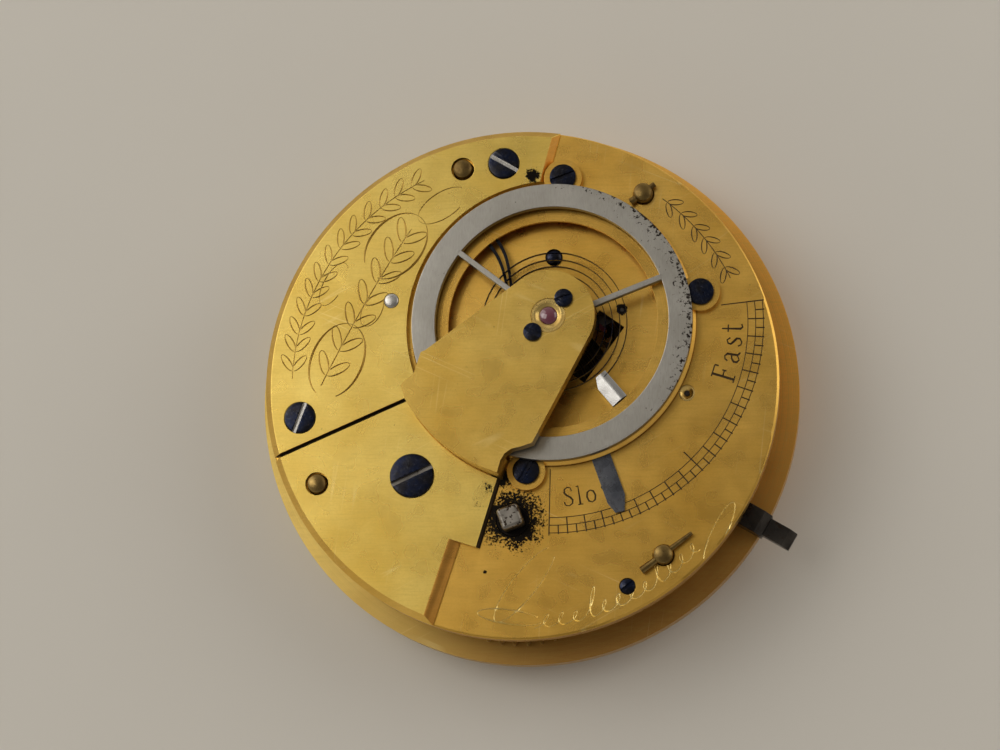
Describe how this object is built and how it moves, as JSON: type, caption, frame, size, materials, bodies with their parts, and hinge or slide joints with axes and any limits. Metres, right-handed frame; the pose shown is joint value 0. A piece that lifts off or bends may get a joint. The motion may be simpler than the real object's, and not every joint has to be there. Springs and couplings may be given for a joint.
{
  "type": "pocket watch movement",
  "caption": "Round gilt fusee watch movement with plates on pillars, going train, lever escapement, steel balance under a cock, regulator and winding square.",
  "frame": {"origin": "centre of the movement on the plane that the brass edge rests on", "axes": "+Z out of the winding side, +X to the right and +Y up as the picture shows the movement"},
  "size_m": [0.0432, 0.0432, 0.0144],
  "materials": {
    "gilt_brass": "fire-gilt, matt",
    "turned_brass": "turned, satin",
    "polished_steel": "ground and polished, aged",
    "dark_steel": "darkened",
    "blued_steel": "fire-blued",
    "ruby": "polished jewel"
  },
  "bodies": {
    "frame": {"brass_edge": "gilt_brass", "pillar_plate": "gilt_brass", "pillars": "turned_brass", "pillar_pins": "turned_brass", "top_plate": "gilt_brass", "barrel_bridge": "gilt_brass", "barrel_bridge_screws": "blued_steel", "fusee_bridge": "gilt_brass", "fusee_bridge_screw": "blued_steel", "cap_ring": "gilt_brass", "cap_ring_screws": "blued_steel", "hairspring": "blued_steel", "hairspring_stud": "polished_steel", "balance_cock": "gilt_brass", "cock_screw": "polished_steel", "jewel_setting": "turned_brass", "end_stone": "ruby", "setting_screws": "blued_steel", "potence": "gilt_brass", "potence_jewel": "ruby", "potence_screw": "blued_steel", "fourth_bush": "turned_brass", "fusee_chain": "polished_steel", "fusee_stop_block": "gilt_brass", "fusee_stop_screw": "blued_steel", "barrel_arbor": "polished_steel", "mainspring": "polished_steel", "setup_ratchet": "polished_steel", "setup_click": "polished_steel", "bolt_spring": "dark_steel", "minute_post": "polished_steel"},
    "balance": {"balance_wheel": "polished_steel", "balance_staff": "polished_steel", "hairspring_collet": "turned_brass", "roller": "polished_steel", "impulse_pin": "ruby"},
    "lever_body": {"lever": "polished_steel", "pallet_stones": "ruby", "pallet_arbor": "polished_steel"},
    "escape_body": {"escape_wheel": "turned_brass", "escape_pinion": "polished_steel"},
    "fourth_body": {"fourth_wheel": "turned_brass", "fourth_pinion": "polished_steel"},
    "third_body": {"third_wheel": "turned_brass", "third_pinion": "polished_steel"},
    "centre_body": {"centre_wheel": "turned_brass", "centre_pinion": "polished_steel", "cannon_pinion": "polished_steel"},
    "great_wheel_body": {"great_wheel": "turned_brass", "fusee_click": "polished_steel"},
    "fusee": {"fusee_cone": "turned_brass", "fusee_arbor": "polished_steel", "fusee_ratchet": "polished_steel"},
    "barrel": {"barrel_drum": "turned_brass", "barrel_cover": "turned_brass"},
    "regulator_body": {"regulator": "dark_steel"},
    "fusee_stop_body": {"fusee_stop": "polished_steel"},
    "bolt_body": {"bolt": "dark_steel"},
    "minute": {"minute_wheel": "turned_brass"},
    "hour": {"hour_wheel": "turned_brass"}
  },
  "joints": [
    {"name": "balance_swing", "type": "hinge", "parent": "frame", "child": "balance", "pos_m": [0.0026, 0.00445, 0.0118], "axis": [0, 0, 1], "range_deg": [-220, 220]},
    {"name": "lever_rock", "type": "hinge", "parent": "frame", "child": "lever_body", "pos_m": [0.0079, 0.00585, 0.008], "axis": [0, 0, 1], "range_deg": [-5, 5]},
    {"name": "seconds_turn", "type": "hinge", "parent": "frame", "child": "fourth_body", "pos_m": [0.01305, -0.00105, 0.006], "axis": [0, 0, 1], "continuous": true},
    {"name": "third_turn", "type": "hinge", "parent": "frame", "child": "third_body", "pos_m": [0.0084, -0.0032, 0.006], "axis": [0, 0, 1], "continuous": true},
    {"name": "centre_turn", "type": "hinge", "parent": "frame", "child": "centre_body", "pos_m": [0, 0, 0.006], "axis": [0, 0, 1], "continuous": true},
    {"name": "escape_turn", "type": "hinge", "parent": "frame", "child": "escape_body", "pos_m": [0.00893, 0.00193, 0.006], "axis": [0, 0, 1], "continuous": true},
    {"name": "great_wheel_turn", "type": "hinge", "parent": "frame", "child": "great_wheel_body", "pos_m": [-0.00045, -0.0109, 0.005], "axis": [0, 0, 1], "continuous": true},
    {"name": "winding", "type": "hinge", "parent": "great_wheel_body", "child": "fusee", "pos_m": [-0.00045, -0.0109, 0.007], "axis": [0, 0, 1], "range_deg": [0, 2340]},
    {"name": "barrel_turn", "type": "hinge", "parent": "frame", "child": "barrel", "pos_m": [-0.0102, 0.0065, 0.007], "axis": [0, 0, 1], "range_deg": [0, 1490]},
    {"name": "regulator_turn", "type": "hinge", "parent": "frame", "child": "regulator_body", "pos_m": [0.0026, 0.00445, 0.0105], "axis": [0, 0, 1], "range_deg": [-14, 68]},
    {"name": "fusee_stop_lift", "type": "hinge", "parent": "frame", "child": "fusee_stop_body", "pos_m": [0.00746, -0.0155, 0.00837], "axis": [0.5024, 0.8647, 0], "range_deg": [0, 1.8]},
    {"name": "minute_wheel_turn", "type": "hinge", "parent": "frame", "child": "minute", "pos_m": [0.0024, 0.00416, 0.002], "axis": [0, 0, 1], "continuous": true},
    {"name": "hour_wheel_turn", "type": "hinge", "parent": "frame", "child": "hour", "pos_m": [0, 0, 0.0013], "axis": [0, 0, 1], "continuous": true},
    {"name": "bolt_slide", "type": "slide", "parent": "frame", "child": "bolt_body", "axis": [0.8678, -0.497, 0], "range_m": [-0.0012, 0], "stiffness_N_per_m": 400}
  ],
  "couplings": [
    {"joint": "third_turn", "follows": "seconds_turn", "ratio": -0.13333},
    {"joint": "centre_turn", "follows": "seconds_turn", "ratio": 0.016667},
    {"joint": "escape_turn", "follows": "seconds_turn", "ratio": -8},
    {"joint": "great_wheel_turn", "follows": "seconds_turn", "ratio": -0.0037037},
    {"joint": "barrel_turn", "follows": "winding", "ratio": 0.63},
    {"joint": "minute_wheel_turn", "follows": "seconds_turn", "ratio": -0.0055556},
    {"joint": "hour_wheel_turn", "follows": "seconds_turn", "ratio": 0.0013889}
  ]
}
